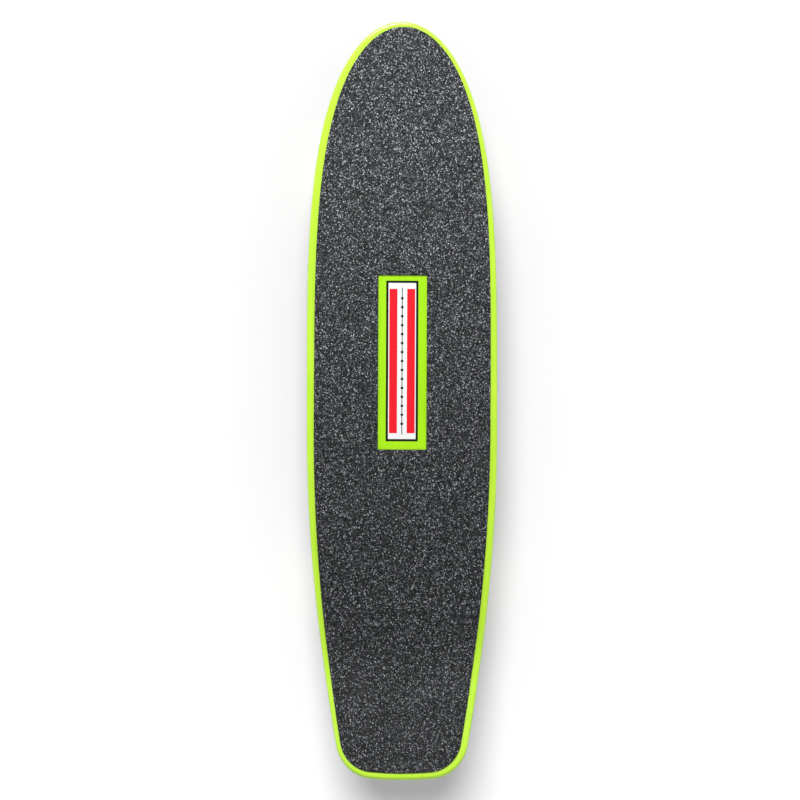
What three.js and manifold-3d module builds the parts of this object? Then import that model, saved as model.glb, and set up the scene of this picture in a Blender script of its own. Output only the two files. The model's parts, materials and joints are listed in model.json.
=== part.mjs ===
// A cambered fibreglass-and-wood skateboard with a kicked tail, two sprung trucks and four soft wheels.
// Millimetres, +X to the nose, +Y to the rider's left, +Z up. The origin is on the ground, under the
// middle of the deck's length.
import * as THREE from "three";
import { mergeVertices } from "three/addons/utils/BufferGeometryUtils.js";
import Module from "manifold-3d";

const wasm = await Module();
wasm.setup();

const { degToRad } = THREE.MathUtils;

// ---- Driving dimensions ----

// Deck outline, seen from above.
const DECK_LENGTH = 762;
const DECK_WIDTH = 192;
const WIDEST_X = -30; // the nose curve starts here
const NOSE_POWER = 3.9; // bluntness of the nose curve
const SIDE_RADIUS = 1700; // the long side arcs, from there back to the tail
const TAIL_END_RADIUS = 360;
const TAIL_CORNER_RADIUS = 39;

// Deck line, seen from the side.
const CAMBER_X = 20; // top of the camber and middle of the wheelbase
const CAMBER_ANGLE = degToRad(3.5); // slope of the flat truck zones
const CAMBER_REACH = 168; // the camber arc ends this far from its top
const KICK_START_X = -240;
const KICK_RADIUS = 130;
const KICK_ANGLE = degToRad(18);

// Deck layers, from the top. The rail is rounded by stepping each layer's edge inwards.
const LAMINATE = 1.0;
const CORE = 8.0;
const LAYER_GAP = 0.05;
const GRIP = 1.0;
const GRIP_GAP = 0.3; // the glue line under the grip sheet
const GRIP_INSET = 6.8;
const RAIL_STEP = 0.6;
const RAIL_INSET = 2.2;
const DECK_THICKNESS = 2 * LAMINATE + CORE + 2 * LAYER_GAP;
const TOP_FACE = DECK_THICKNESS / 2; // above the deck's middle plane

// Window cut in the grip sheet.
const WINDOW = { x: 36, length: 175, width: 49 };

// Trucks. x runs outwards from the truck's own centre, towards its end of the deck.
const TRUCK_SPACING = 430;
const FIT_GAP = 0.3; // between pieces that touch
const RISER = 6;
const PLATE = { length: 82, width: 56, thickness: 6, corner: 8 };
const BOLT_SPACING = { x: 63.5, y: 41.3 };
const BOLT_HOLE_R = 2.75;
const BOLT_R = 2.3;
const BOLT_HEAD_R = 4.6;
const BOLT_SUNK = 0.5; // the head lies this far under the deck's top face
const BOLT_TIP = -20.5; // under the deck's bottom face
const LOCK_NUT = { r: 5.5, height: 5.6 };

// Steering geometry in the truck's side plane, from the base plate's upper face.
const RING_CENTRE = { x: -22, z: -43 };
const PIVOT_ANGLE = degToRad(32); // of the steering axis, above the deck's line
const PIVOT_LENGTH = 56; // from the ring's centre to the pivot's tip centre
const KINGPIN_LEAN = degToRad(22); // from square to the deck
const AXLE_FROM_KINGPIN = { out: 21, up: -2 };

// Kingpin stack, along the kingpin from the ring's centre, up towards the deck.
const RING = { r: 15.5, half: 4.5, hole: 7.2 };
const BUSHING = { r: 11.5, roadEndR: 9, bore: 5.0, lipR: 6.8, lipFrom: 0.6, top: 18.0, roadEnd: -17.0 };
const BOARD_WASHER = { r: 12.5, from: 18.3, to: 19.8 };
const ROAD_WASHER = { r: 10.5, from: -18.8, to: -17.3 };
const KINGPIN = { r: 4.6, headR: 8.3, headFrom: 35, headTo: 41, end: -30 };
const KINGPIN_NUT = { r: 8.2, from: -27, to: -19.1 };
const KINGPIN_BOSS = { r: 13, from: 20.1, to: 46 };

// Pivot, along the steering axis from the tip's centre.
const PIVOT = { tipR: 4.5, neckR: 6.5, neckFrom: -18, neckTo: -10, tipFrom: -7.5 };
const CUP = { r: 7.3, bore: 4.9, mouth: -7, back: 6.2 };
const PIVOT_BOSS = { r: 11, mouth: -7, back: 9 };

// Axle, wheels and bearings, along Y.
const HANGER_HALF = 47;
const TUBE = { endR: 8, middleR: 9.5, endLength: 8 };
const AXLE = { r: 3.95, half: 83, chamfer: 0.8 };
const AXLE_NUT = { r: 7.3, height: 6.5 };
const SPEED_RING = 1.0;
const BEARING = { r: 11, outerBore: 9.2, innerR: 5.8, bore: 4.3, width: 7, shield: 0.4, shieldBore: 6.4 };
const SPACER = { half: 5, r: 5.2 };
const WHEEL = { r: 31, half: 18, lip: 5, faceR: 15, faceHalf: 16.5, hubR: 12.6 };
const WHEEL_SIDES = 32;
const ROUND = 16; // sides of small round pieces
const HOLE_SIDES = 12;

// ---- Worked out from them ----

const WHEEL_Y = HANGER_HALF + FIT_GAP + SPEED_RING + BEARING.width + SPACER.half;
const STEER_AXIS = { x: Math.cos(PIVOT_ANGLE), z: Math.sin(PIVOT_ANGLE) };
const KINGPIN_UP = { x: Math.sin(KINGPIN_LEAN), z: Math.cos(KINGPIN_LEAN) };
const KINGPIN_OUT = { x: KINGPIN_UP.z, z: -KINGPIN_UP.x };
const PIVOT_TIP = {
  x: RING_CENTRE.x + PIVOT_LENGTH * STEER_AXIS.x,
  z: RING_CENTRE.z + PIVOT_LENGTH * STEER_AXIS.z,
};
const AXLE_CENTRE = {
  x: RING_CENTRE.x + AXLE_FROM_KINGPIN.out * KINGPIN_OUT.x + AXLE_FROM_KINGPIN.up * KINGPIN_UP.x,
  z: RING_CENTRE.z + AXLE_FROM_KINGPIN.out * KINGPIN_OUT.z + AXLE_FROM_KINGPIN.up * KINGPIN_UP.z,
};
const PLATE_Z = -(RISER + FIT_GAP); // the base plate's upper face, under the deck's bottom face

// ---- Materials ----

const material = (color, roughness, metalness) =>
  new THREE.MeshStandardMaterial({ color, roughness, metalness });
const LIME = material(0xb4fa28, 0.25, 0);
const BLACK_GLASS = material(0x1e1f20, 0.3, 0);
const WOOD = material(0xa9c93c, 0.5, 0);
const GRIT = material(0x3c3d3e, 0.95, 0);
const PAD_BLACK = material(0x151515, 0.7, 0);
const CAST_METAL = material(0xb9bbbd, 0.45, 0.9);
const ZINC = material(0xc9c9c4, 0.3, 1);
const BLACK_STEEL = material(0x1d1d1f, 0.4, 0.9);
const POLISHED_STEEL = material(0xdadcdd, 0.15, 1);
const CREAM_URETHANE = material(0xe4dfd2, 0.35, 0);
const AMBER_URETHANE = material(0xd99a2b, 0.4, 0);
const CUP_PLASTIC = material(0xe8e6dc, 0.5, 0);

// ---- Solids ----

/** A closed geometry as a solid, moved by a matrix. */
function toSolid(geometry, matrix = new THREE.Matrix4()) {
  const bare = new THREE.BufferGeometry();
  bare.setAttribute("position", geometry.getAttribute("position").clone());
  bare.setIndex(geometry.index);
  bare.applyMatrix4(matrix);
  const merged = mergeVertices(bare, 1e-4);
  const corners = [];
  for (let i = 0; i < merged.index.count; i += 3) {
    const [a, b, c] = merged.index.array.slice(i, i + 3);
    if (a !== b && b !== c && c !== a) corners.push(a, b, c);
  }
  return new wasm.Manifold(
    new wasm.Mesh({
      numProp: 3,
      vertProperties: merged.attributes.position.array,
      triVerts: new Uint32Array(corners),
    }),
  );
}

/** A solid back as a geometry. */
function toGeometry(solid) {
  const { vertProperties, triVerts } = solid.getMesh();
  const geometry = new THREE.BufferGeometry();
  geometry.setAttribute("position", new THREE.BufferAttribute(vertProperties, 3));
  geometry.setIndex(new THREE.BufferAttribute(triVerts, 1));
  return geometry;
}

/** A solid of revolution about Y. The profile's [radius, y] points run up its outside. */
function turned(profile, sides = ROUND, start = 0) {
  const points = profile.map(([r, y]) => new THREE.Vector2(r, y));
  return new THREE.LatheGeometry(points, sides, start, 2 * Math.PI);
}

/** A ring about Y with a square section. */
function ring(outer, inner, from, to, sides = ROUND) {
  return turned([[inner, from], [outer, from], [outer, to], [inner, to], [inner, from]], sides);
}

/** A solid cylinder about Y. */
function rod(radius, from, to, sides = ROUND) {
  return turned([[0, from], [radius, from], [radius, to], [0, to]], sides);
}

/** Points of a quarter or half circle in a profile, as [radius, y]. */
function arc(centreR, centreY, radius, from, to, steps) {
  return Array.from({ length: steps + 1 }, (_, i) => {
    const angle = degToRad(from + ((to - from) * i) / steps);
    return [Math.max(0, centreR + radius * Math.cos(angle)), centreY + radius * Math.sin(angle)];
  });
}

/** Takes a piece made about Y to an axis in the side plane, leaning outwards from square to the deck. */
function alongAxis(centre, lean) {
  const turn = new THREE.Euler(Math.PI / 2, lean, 0, "YXZ");
  return new THREE.Matrix4()
    .makeTranslation(centre.x, 0, centre.z)
    .multiply(new THREE.Matrix4().makeRotationFromEuler(turn));
}

const kingpinFrame = alongAxis(RING_CENTRE, KINGPIN_LEAN);
const pivotFrame = alongAxis(PIVOT_TIP, Math.PI / 2 - PIVOT_ANGLE);

/** A flat outline in the truck's side plane, [x, z], made into a bar of that width across Y. */
function sideBar(outline, width) {
  const shape = new THREE.Shape(outline.map(([x, z]) => new THREE.Vector2(x, z)));
  const bar = new THREE.ExtrudeGeometry(shape, { depth: width, bevelEnabled: false });
  return bar.rotateX(Math.PI / 2).translate(0, width / 2, 0);
}

/** A rounded plate with the truck's four bolt holes, its upper face at z = 0. */
function boltedPlate(thickness) {
  const { length, width, corner } = PLATE;
  const [x, y] = [length / 2, width / 2];
  const shape = new THREE.Shape();
  shape.moveTo(-x + corner, -y);
  shape.absarc(x - corner, -y + corner, corner, -Math.PI / 2, 0);
  shape.absarc(x - corner, y - corner, corner, 0, Math.PI / 2);
  shape.absarc(-x + corner, y - corner, corner, Math.PI / 2, Math.PI);
  shape.absarc(-x + corner, -y + corner, corner, Math.PI, 1.5 * Math.PI);
  for (const [bx, by] of boltPlaces()) {
    shape.holes.push(new THREE.Path().absarc(bx, by, BOLT_HOLE_R, 0, 2 * Math.PI, true));
  }
  const plate = new THREE.ExtrudeGeometry(shape, {
    depth: thickness,
    bevelEnabled: false,
    curveSegments: HOLE_SIDES / 2,
  });
  return plate.translate(0, 0, -thickness);
}

function boltPlaces() {
  const [x, y] = [BOLT_SPACING.x / 2, BOLT_SPACING.y / 2];
  return [[x, y], [x, -y], [-x, -y], [-x, y]];
}

/** A hexagonal nut about Y with a round bore. */
function nut(radius, bore, height) {
  return toGeometry(
    toSolid(rod(radius, 0, height, 6)).subtract(toSolid(rod(bore, -1, height + 1))),
  );
}

// ---- Deck ----

/** Height of the deck's middle plane under the camber's top, and its slope, rising towards the nose. */
function deckLine(x) {
  const radius = CAMBER_REACH / Math.sin(CAMBER_ANGLE);
  const away = Math.abs(x - CAMBER_X);
  const side = Math.sign(CAMBER_X - x);
  if (away <= CAMBER_REACH) {
    return { z: Math.sqrt(radius ** 2 - away ** 2) - radius, slope: side * Math.asin(away / radius) };
  }
  const straight = (reach) =>
    radius * (Math.cos(CAMBER_ANGLE) - 1) - (reach - CAMBER_REACH) * Math.tan(CAMBER_ANGLE);
  if (x >= KICK_START_X) return { z: straight(away), slope: side * CAMBER_ANGLE };
  const past = KICK_START_X - x;
  const bend = Math.min(past, KICK_RADIUS * (Math.sin(CAMBER_ANGLE) + Math.sin(KICK_ANGLE)));
  const turn = Math.asin(bend / KICK_RADIUS - Math.sin(CAMBER_ANGLE));
  const foot = straight(CAMBER_X - KICK_START_X);
  const bent = foot + KICK_RADIUS * (Math.cos(CAMBER_ANGLE) - Math.cos(turn));
  return { z: bent + (past - bend) * Math.tan(KICK_ANGLE), slope: -turn };
}

/** Where a truck sits, out from the middle of the wheelbase and down from the top of the camber. */
function truckSeat() {
  const { z, slope } = deckLine(CAMBER_X + TRUCK_SPACING / 2);
  const depth = TOP_FACE + FIT_GAP;
  return { out: TRUCK_SPACING / 2 + depth * Math.sin(slope), z: z - depth * Math.cos(slope) };
}

/** Height of the camber's top above the ground, which puts every wheel's lowest flat at z = 0. */
function camberTop() {
  const down = AXLE_CENTRE.x * Math.sin(CAMBER_ANGLE) - (PLATE_Z + AXLE_CENTRE.z) * Math.cos(CAMBER_ANGLE);
  return down - truckSeat().z + WHEEL.r * Math.cos(Math.PI / WHEEL_SIDES);
}

const CAMBER_TOP_Z = camberTop();

/** A point at a level above the deck's middle plane, square to it. */
function deckPoint(x, y, level) {
  const { z, slope } = deckLine(x);
  return [x - level * Math.sin(slope), y, CAMBER_TOP_Z + z + level * Math.cos(slope)];
}

/** The left half of the outline from tail to nose, as points with outward normals. */
function halfOutline() {
  const half = DECK_WIDTH / 2;
  const end = { x: TAIL_END_RADIUS - DECK_LENGTH / 2, y: 0, r: TAIL_END_RADIUS };
  const side = { x: WIDEST_X, y: half - SIDE_RADIUS, r: SIDE_RADIUS };
  const corner = filletCentre(end, side, TAIL_CORNER_RADIUS);
  const onCircle = (c, angle) => ({
    x: c.x + c.r * Math.cos(angle),
    y: c.y + c.r * Math.sin(angle),
    nx: Math.cos(angle),
    ny: Math.sin(angle),
  });
  const endAngle = Math.atan2(corner.y - end.y, corner.x - end.x);
  const sideAngle = Math.atan2(corner.y - side.y, corner.x - side.x);
  const points = [];
  const sweep = (circle, from, to, steps) => {
    for (let i = 0; i < steps; i++) points.push(onCircle(circle, from + ((to - from) * i) / steps));
  };
  sweep(end, Math.PI, endAngle, 3);
  sweep(corner, endAngle, sideAngle, 7);

  const kickEnd = KICK_START_X - KICK_RADIUS * (Math.sin(CAMBER_ANGLE) + Math.sin(KICK_ANGLE));
  const noseLength = DECK_LENGTH / 2 - WIDEST_X;
  const nose = (share) => {
    const y = half * Math.sqrt(1 - share ** NOSE_POWER);
    const slope = { x: (NOSE_POWER * share ** (NOSE_POWER - 1)) / noseLength, y: (2 * y) / half ** 2 };
    const size = Math.hypot(slope.x, slope.y);
    return { x: WIDEST_X + share * noseLength, y, nx: slope.x / size, ny: slope.y / size };
  };
  const sidePoint = (x) =>
    x > WIDEST_X
      ? nose((x - WIDEST_X) / noseLength)
      : onCircle(side, Math.PI / 2 + Math.asin((WIDEST_X - x) / SIDE_RADIUS));
  const straightStart = onCircle(side, sideAngle).x;
  const stretches = [
    [straightStart, kickEnd, 2],
    [kickEnd, KICK_START_X, 6],
    [KICK_START_X, CAMBER_X - CAMBER_REACH, 3],
    [CAMBER_X - CAMBER_REACH, CAMBER_X + CAMBER_REACH, 10],
  ];
  for (const [from, to, steps] of stretches) {
    for (let i = 0; i < steps; i++) points.push(sidePoint(from + ((to - from) * i) / steps));
  }
  points.push(sidePoint(CAMBER_X + CAMBER_REACH));
  const noseSteps = 14;
  const firstAngle = degToRad(70);
  for (let i = 0; i <= noseSteps; i++) {
    points.push(nose(Math.cos(firstAngle * (1 - i / noseSteps)) ** (2 / NOSE_POWER)));
  }
  return points;
}

/** Centre of a circle that touches two circles from inside, at the tail's left corner. */
function filletCentre(a, b, radius) {
  const [ra, rb] = [a.r - radius, b.r - radius];
  const [dx, dy] = [b.x - a.x, b.y - a.y];
  const apart = Math.hypot(dx, dy);
  const along = (ra ** 2 - rb ** 2 + apart ** 2) / (2 * apart);
  const across = Math.sqrt(ra ** 2 - along ** 2);
  return {
    x: a.x + (along * dx + across * dy) / apart,
    y: a.y + (along * dy - across * dx) / apart,
    r: radius,
  };
}

/** A closed sheet that follows the deck. Its rings run from the lowest to the highest, each the deck's
 *  outline, inset, at a level above the deck's middle plane. */
function deckSheet(rings) {
  const half = halfOutline();
  const last = half.length - 1;
  const mirrored = (i) => (i === 0 || i === last ? i : 2 * last - i);
  const count = 2 * last;
  const positions = [];
  for (const { inset, level } of rings) {
    for (let i = 0; i < count; i++) {
      const { x, y, nx, ny } = half[i <= last ? i : 2 * last - i];
      const side = i <= last ? 1 : -1;
      const onAxis = i === 0 || i === last;
      positions.push(...deckPoint(x - inset * nx, onAxis ? 0 : side * (y - inset * ny), level));
    }
  }
  const faces = [];
  for (let r = 0; r < rings.length - 1; r++) {
    for (let i = 0; i < count; i++) {
      const [a, b] = [r * count + i, r * count + ((i + 1) % count)];
      faces.push(a, b + count, b, a, a + count, b + count);
    }
  }
  const cap = (first, up) => {
    for (let i = 0; i < last; i++) {
      const [a, b, c, d] = [i, i + 1, mirrored(i + 1), mirrored(i)].map((k) => first + k);
      const corners = [[a, c, b], [a, d, c]];
      for (const [p, q, r] of corners) {
        if (p !== q && q !== r && r !== p) faces.push(...(up ? [p, q, r] : [p, r, q]));
      }
    }
  };
  cap(0, false);
  cap((rings.length - 1) * count, true);
  const geometry = new THREE.BufferGeometry();
  geometry.setAttribute("position", new THREE.Float32BufferAttribute(positions, 3));
  geometry.setIndex(faces);
  return geometry;
}

const FRONT = { name: "front", heading: 0 };
const REAR = { name: "rear", heading: Math.PI };

/** The frame of a truck, on the deck's bottom face, with x outwards and z square to the deck. */
function truckGroup({ heading }) {
  const { out, z } = truckSeat();
  const group = new THREE.Group();
  group.position.set(CAMBER_X + (heading ? -out : out), 0, CAMBER_TOP_Z + z);
  group.rotation.set(0, CAMBER_ANGLE, heading, "ZYX");
  group.updateMatrixWorld(true);
  return group;
}

/** The eight bolt holes with their countersinks, as one solid to take out of the deck's layers. */
function boltHoles() {
  const top = DECK_THICKNESS + FIT_GAP;
  const sinkR = BOLT_HEAD_R + 2 * FIT_GAP;
  const past = 5; // beyond both faces of the deck
  const profile = [
    [0, -past],
    [BOLT_HOLE_R, -past],
    [BOLT_HOLE_R, top - sinkR + BOLT_HOLE_R],
    [sinkR, top],
    [sinkR, top + past],
    [0, top + past],
  ];
  const bore = turned(profile, HOLE_SIDES);
  const upright = new THREE.Matrix4().makeRotationX(Math.PI / 2);
  let holes = null;
  for (const truck of [FRONT, REAR]) {
    const frame = truckGroup(truck).matrixWorld;
    for (const [x, y] of boltPlaces()) {
      const place = frame.clone().multiply(new THREE.Matrix4().makeTranslation(x, y, 0)).multiply(upright);
      const hole = toSolid(bore, place);
      holes = holes ? holes.add(hole) : hole;
    }
  }
  return holes;
}

/** Adds a named piece to a group. */
function add(group, name, geometry, finish, x = 0, y = 0, z = 0) {
  const mesh = new THREE.Mesh(geometry, finish);
  mesh.name = name;
  mesh.position.set(x, y, z);
  group.add(mesh);
  return mesh;
}

function buildDeck(board) {
  const holes = boltHoles();
  const drilled = (rings) => toGeometry(toSolid(deckSheet(rings)).subtract(holes));
  const coreFace = CORE / 2;
  add(board, "deck_top_laminate", drilled([
    { inset: RAIL_STEP, level: coreFace + LAYER_GAP },
    { inset: RAIL_INSET, level: TOP_FACE },
  ]), LIME);
  add(board, "deck_core", drilled([
    { inset: RAIL_STEP, level: -coreFace },
    { inset: 0, level: -coreFace / 2 },
    { inset: 0, level: coreFace / 2 },
    { inset: RAIL_STEP, level: coreFace },
  ]), WOOD);
  add(board, "deck_bottom_laminate", drilled([
    { inset: RAIL_INSET, level: -TOP_FACE },
    { inset: RAIL_STEP, level: -coreFace - LAYER_GAP },
  ]), BLACK_GLASS);
  const sheet = toSolid(deckSheet([
    { inset: GRIP_INSET, level: TOP_FACE + GRIP_GAP },
    { inset: GRIP_INSET, level: TOP_FACE + GRIP_GAP + GRIP },
  ]));
  const window = new THREE.BoxGeometry(WINDOW.length, WINDOW.width, 40);
  window.translate(WINDOW.x, 0, CAMBER_TOP_Z);
  add(board, "grip_sheet", toGeometry(sheet.subtract(toSolid(window))), GRIT);
}

// ---- Truck pieces ----

function basePlate() {
  const above = new THREE.BoxGeometry(2 * PLATE.length, 2 * PLATE.width, 60).translate(0, 0, 30);
  const rib = sideBar([[-16, -1], [-16, -9.5], [24, -9.5], [24, -1]], 12);
  return toGeometry(
    toSolid(boltedPlate(PLATE.thickness))
      .add(toSolid(rod(KINGPIN_BOSS.r, KINGPIN_BOSS.from, KINGPIN_BOSS.to, 20), kingpinFrame))
      .add(toSolid(rod(PIVOT_BOSS.r, PIVOT_BOSS.mouth, PIVOT_BOSS.back, 20), pivotFrame))
      .add(toSolid(rib))
      .subtract(toSolid(above))
      .subtract(toSolid(rod(KINGPIN.r + 0.4, 0, 60), kingpinFrame))
      .subtract(toSolid(rod(KINGPIN.headR + 0.9, KINGPIN.headFrom - FIT_GAP, 60), kingpinFrame))
      .subtract(toSolid(rod(CUP.r + FIT_GAP, -20, CUP.back + FIT_GAP), pivotFrame)),
  );
}

function hanger() {
  const tube = turned([
    [0, -HANGER_HALF],
    [TUBE.endR, -HANGER_HALF],
    [TUBE.endR, TUBE.endLength - HANGER_HALF],
    [TUBE.middleR, -HANGER_HALF / 2],
    [TUBE.middleR, HANGER_HALF / 2],
    [TUBE.endR, HANGER_HALF - TUBE.endLength],
    [TUBE.endR, HANGER_HALF],
    [0, HANGER_HALF],
  ], 20);
  const onAxle = new THREE.Matrix4().makeTranslation(AXLE_CENTRE.x, 0, AXLE_CENTRE.z);
  const stem = turned([
    [0, PIVOT.neckFrom],
    [PIVOT.neckR, PIVOT.neckFrom],
    [PIVOT.neckR, PIVOT.neckTo],
    [PIVOT.tipR, PIVOT.tipFrom],
    ...arc(0, 0, PIVOT.tipR, 0, 90, 3),
  ]);
  // The yoke spreads from the ring to the axle tube, in the ring's own plane.
  const yoke = new THREE.Shape([
    new THREE.Vector2(2, -RING.r + 0.4),
    new THREE.Vector2(AXLE_FROM_KINGPIN.out, -32),
    new THREE.Vector2(AXLE_FROM_KINGPIN.out, 32),
    new THREE.Vector2(2, RING.r - 0.4),
  ]);
  const yokeBar = new THREE.ExtrudeGeometry(yoke, { depth: 2 * RING.half - 1, bevelEnabled: false });
  yokeBar.translate(0, 0, 0.5 - RING.half);
  const yokeFrame = new THREE.Matrix4()
    .makeTranslation(RING_CENTRE.x, 0, RING_CENTRE.z)
    .multiply(new THREE.Matrix4().makeRotationY(KINGPIN_LEAN));
  return toGeometry(
    toSolid(tube, onAxle)
      .add(toSolid(rod(RING.r, -RING.half, RING.half, 24), kingpinFrame))
      .add(toSolid(yokeBar, yokeFrame))
      .add(toSolid(stem, pivotFrame))
      .add(toSolid(hangerArm()))
      .subtract(toSolid(rod(RING.hole, -20, 20), kingpinFrame))
      .subtract(toSolid(rod(AXLE.r + FIT_GAP, -100, 100), onAxle)),
  );
}

/** The arm that carries the pivot stem, from the axle tube up to the stem's neck. */
function hangerArm() {
  const neck = {
    x: PIVOT_TIP.x + (PIVOT.neckFrom + 5) * STEER_AXIS.x,
    z: PIVOT_TIP.z + (PIVOT.neckFrom + 5) * STEER_AXIS.z,
  };
  const [dx, dz] = [neck.x - AXLE_CENTRE.x, neck.z - AXLE_CENTRE.z];
  const length = Math.hypot(dx, dz);
  const across = (point, offset) => [point.x + (offset * dz) / length, point.z - (offset * dx) / length];
  const [foot, head] = [TUBE.middleR - 0.6, PIVOT.neckR - 0.3];
  return sideBar(
    [across(AXLE_CENTRE, -foot), across(AXLE_CENTRE, foot), across(neck, head), across(neck, -head)],
    2 * PIVOT.neckR - 0.6,
  );
}

function kingpin() {
  const shaft = turned([
    [0, KINGPIN.end],
    [KINGPIN.r - 0.8, KINGPIN.end],
    [KINGPIN.r, KINGPIN.end + 0.8],
    [KINGPIN.r, KINGPIN.headFrom + 1],
    [0, KINGPIN.headFrom + 1],
  ]);
  return toGeometry(toSolid(shaft).add(toSolid(rod(KINGPIN.headR, KINGPIN.headFrom, KINGPIN.headTo, 6))));
}

function boardBushing() {
  const { r, bore, lipR, lipFrom, top } = BUSHING;
  const seat = RING.half + FIT_GAP;
  return turned([
    [bore, lipFrom], [lipR, lipFrom], [lipR, seat], [r - 1, seat], [r, seat + 2],
    [r, top - 2], [r - 1, top], [bore, top], [bore, lipFrom],
  ], 20);
}

function roadBushing() {
  const { r, roadEndR, bore, lipR, lipFrom, roadEnd } = BUSHING;
  const seat = -(RING.half + FIT_GAP);
  return turned([
    [bore, roadEnd], [roadEndR, roadEnd], [r, seat - 1.5], [r - 1, seat],
    [lipR, seat], [lipR, -lipFrom], [bore, -lipFrom], [bore, roadEnd],
  ], 20);
}

function pivotCup() {
  return turned([
    ...arc(0, 0, CUP.bore, 90, 0, 3),
    [CUP.bore, CUP.mouth],
    [CUP.r, CUP.mouth],
    [CUP.r, CUP.back],
    [0, CUP.back],
  ]);
}

function axle() {
  const { r, half, chamfer } = AXLE;
  return turned([
    [0, -half], [r - chamfer, -half], [r, chamfer - half],
    [r, half - chamfer], [r - chamfer, half], [0, half],
  ]);
}

/** A flat-headed bolt through deck, riser and base plate, in one with the lock nut on its tip. */
function mountingBolt() {
  const top = DECK_THICKNESS + FIT_GAP - BOLT_SUNK;
  const bolt = turned([
    [0, BOLT_TIP],
    [BOLT_R, BOLT_TIP],
    [BOLT_R, top - (BOLT_HEAD_R - BOLT_R)],
    [BOLT_HEAD_R, top],
    [0, top],
  ], HOLE_SIDES);
  const nutTop = PLATE_Z - PLATE.thickness - FIT_GAP;
  const lockNut = rod(LOCK_NUT.r, nutTop - LOCK_NUT.height, nutTop, 6);
  return toGeometry(toSolid(bolt).add(toSolid(lockNut))).rotateX(Math.PI / 2);
}

// ---- Wheels ----

/** The urethane wheel, about its own centre, with a seat for a bearing on each side. */
function tyre() {
  const { r, half, lip, faceR, faceHalf, hubR } = WHEEL;
  const seat = BEARING.r + FIT_GAP;
  const ledge = SPACER.half - FIT_GAP;
  const face = SPACER.half + BEARING.width;
  const outside = [[faceR, faceHalf], [hubR, face], [seat, face], [seat, ledge], [seat - 2, ledge]];
  const upper = [[r, half - lip], [r - lip, half], ...outside];
  const lower = upper.map(([x, y]) => [x, -y]).reverse();
  const start = Math.PI / WHEEL_SIDES; // puts a flat, not a corner, under the wheel
  return turned([...lower, ...upper, lower[0]], WHEEL_SIDES, start);
}

/** The outer ring of a bearing with its shield, from its inward face. */
function outerRace() {
  const { r, outerBore, width, shield, shieldBore } = BEARING;
  return turned([
    [outerBore, 0], [r, 0], [r, width], [shieldBore, width],
    [shieldBore, width - shield], [outerBore, width - shield], [outerBore, 0],
  ]);
}

/** The inner ring of a bearing, made in one with its speed ring and half of the spacer. */
function innerRace() {
  const { innerR, bore, width } = BEARING;
  const start = 0.1 - SPACER.half;
  return turned([
    [bore, start], [SPACER.r, start], [SPACER.r, 0], [innerR, 0],
    [innerR, width + SPEED_RING], [bore, width + SPEED_RING], [bore, start],
  ]);
}

/** A wheel with its two bearings. Each bearing faces away from the wheel's centre. */
function addWheel(axleGroup, truckName, sideName, side) {
  const wheel = new THREE.Group();
  wheel.position.y = side * WHEEL_Y;
  wheel.rotation.y = -CAMBER_ANGLE;
  axleGroup.add(wheel);
  const name = `${truckName}_${sideName}`;
  add(wheel, `${name}_wheel`, tyre(), CREAM_URETHANE);
  for (const [place, facing] of [["outboard", side], ["inboard", -side]]) {
    const bearing = new THREE.Group();
    bearing.position.y = facing * SPACER.half;
    bearing.rotation.x = facing > 0 ? 0 : Math.PI;
    wheel.add(bearing);
    add(bearing, `${name}_${place}_outer_race`, outerRace(), POLISHED_STEEL);
    add(bearing, `${name}_${place}_inner_race`, innerRace(), POLISHED_STEEL);
  }
  const nutFrom = WHEEL_Y + SPACER.half + BEARING.width + SPEED_RING + FIT_GAP;
  const axleNut = nut(AXLE_NUT.r, AXLE.r + FIT_GAP, AXLE_NUT.height);
  const nutMesh = add(axleGroup, `${name}_axle_nut`, axleNut, ZINC);
  nutMesh.position.y = side > 0 ? nutFrom : -nutFrom - AXLE_NUT.height;
}

function buildTruck(board, truck) {
  const group = truckGroup(truck);
  board.add(group);
  const named = (piece) => `${truck.name}_${piece}`;
  add(group, named("riser_pad"), boltedPlate(RISER), PAD_BLACK);
  boltPlaces().forEach(([x, y], i) => {
    add(group, named(`mounting_bolt_${i + 1}`), mountingBolt(), BLACK_STEEL, x, y);
  });

  const truckBody = new THREE.Group();
  truckBody.position.z = PLATE_Z;
  group.add(truckBody);
  add(truckBody, named("base_plate"), basePlate(), CAST_METAL);
  add(truckBody, named("hanger"), hanger(), CAST_METAL);

  const pivot = new THREE.Group();
  pivot.applyMatrix4(pivotFrame);
  truckBody.add(pivot);
  add(pivot, named("pivot_cup"), pivotCup(), CUP_PLASTIC);

  const stack = new THREE.Group();
  stack.applyMatrix4(kingpinFrame);
  truckBody.add(stack);
  const washer = ({ r, from, to }) => ring(r, BUSHING.bore, from, to, 20);
  add(stack, named("kingpin"), kingpin(), ZINC);
  add(stack, named("board_side_bushing"), boardBushing(), AMBER_URETHANE);
  add(stack, named("road_side_bushing"), roadBushing(), AMBER_URETHANE);
  add(stack, named("board_side_washer"), washer(BOARD_WASHER), ZINC);
  add(stack, named("road_side_washer"), washer(ROAD_WASHER), ZINC);
  const { r, from, to } = KINGPIN_NUT;
  add(stack, named("kingpin_nut"), nut(r, KINGPIN.r + FIT_GAP, to - from), ZINC, 0, from, 0);

  const axleGroup = new THREE.Group();
  axleGroup.position.set(AXLE_CENTRE.x, 0, AXLE_CENTRE.z);
  truckBody.add(axleGroup);
  add(axleGroup, named("axle"), axle(), POLISHED_STEEL);
  // A rear truck faces backwards, so its own +Y side is the board's right.
  const [plusSide, minusSide] = truck === FRONT ? ["left", "right"] : ["right", "left"];
  addWheel(axleGroup, truck.name, plusSide, 1);
  addWheel(axleGroup, truck.name, minusSide, -1);
}

const skateboard = new THREE.Group();
buildDeck(skateboard);
buildTruck(skateboard, FRONT);
buildTruck(skateboard, REAR);

export default skateboard;
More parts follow.
